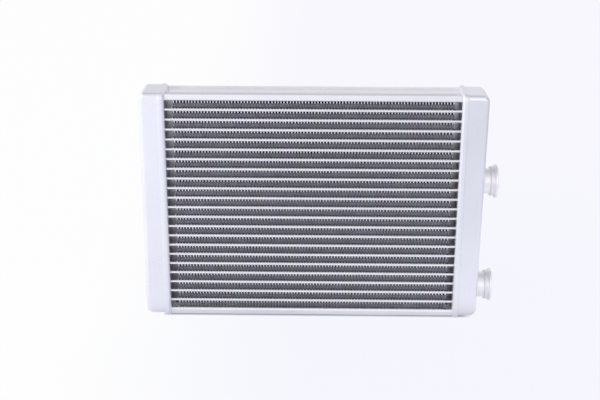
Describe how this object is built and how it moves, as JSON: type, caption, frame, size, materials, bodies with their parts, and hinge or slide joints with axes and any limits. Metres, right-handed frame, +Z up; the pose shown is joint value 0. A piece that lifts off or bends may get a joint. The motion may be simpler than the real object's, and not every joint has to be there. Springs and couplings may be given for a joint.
{
  "type": "heater core",
  "caption": "Brazed aluminium heater core: flat tubes and folded fins between two end tanks, with ribbed side plates and two flanged necks on one tank.",
  "frame": {"origin": "on the surface that the core stands on, under the middle of its overall length and depth, necks included", "axes": "+X along the tubes towards the tank with the two necks, +Y from the front face to the back face, +Z up"},
  "size_m": [0.25, 0.0324, 0.1668],
  "materials": {
    "fin_sheet": "thin folded sheet, dull",
    "tube_sheet": "smooth drawn sheet, satin",
    "header_sheet": "pressed sheet, satin, brazed",
    "tank_sheet": "deep-drawn sheet, satin, brazed",
    "plate_sheet": "rolled channel, satin",
    "neck_metal": "turned and flared, satin",
    "baffle_sheet": "flat sheet, hidden inside"
  },
  "bodies": {
    "root": {"baffle": "baffle_sheet", "fin_01": "fin_sheet", "fin_02": "fin_sheet", "fin_03": "fin_sheet", "fin_04": "fin_sheet", "fin_05": "fin_sheet", "fin_06": "fin_sheet", "fin_07": "fin_sheet", "fin_08": "fin_sheet", "fin_09": "fin_sheet", "fin_10": "fin_sheet", "fin_11": "fin_sheet", "fin_12": "fin_sheet", "fin_13": "fin_sheet", "fin_14": "fin_sheet", "fin_15": "fin_sheet", "fin_16": "fin_sheet", "fin_17": "fin_sheet", "fin_18": "fin_sheet", "fin_19": "fin_sheet", "fin_20": "fin_sheet", "fin_21": "fin_sheet", "fin_22": "fin_sheet", "header_left": "header_sheet", "header_right": "header_sheet", "port_lower": "neck_metal", "port_upper": "neck_metal", "side_plate_bottom": "plate_sheet", "side_plate_top": "plate_sheet", "tank_left": "tank_sheet", "tank_right": "tank_sheet", "tube_01": "tube_sheet", "tube_02": "tube_sheet", "tube_03": "tube_sheet", "tube_04": "tube_sheet", "tube_05": "tube_sheet", "tube_06": "tube_sheet", "tube_07": "tube_sheet", "tube_08": "tube_sheet", "tube_09": "tube_sheet", "tube_10": "tube_sheet", "tube_11": "tube_sheet", "tube_12": "tube_sheet", "tube_13": "tube_sheet", "tube_14": "tube_sheet", "tube_15": "tube_sheet", "tube_16": "tube_sheet", "tube_17": "tube_sheet", "tube_18": "tube_sheet", "tube_19": "tube_sheet", "tube_20": "tube_sheet", "tube_21": "tube_sheet"}
  },
  "joints": []
}
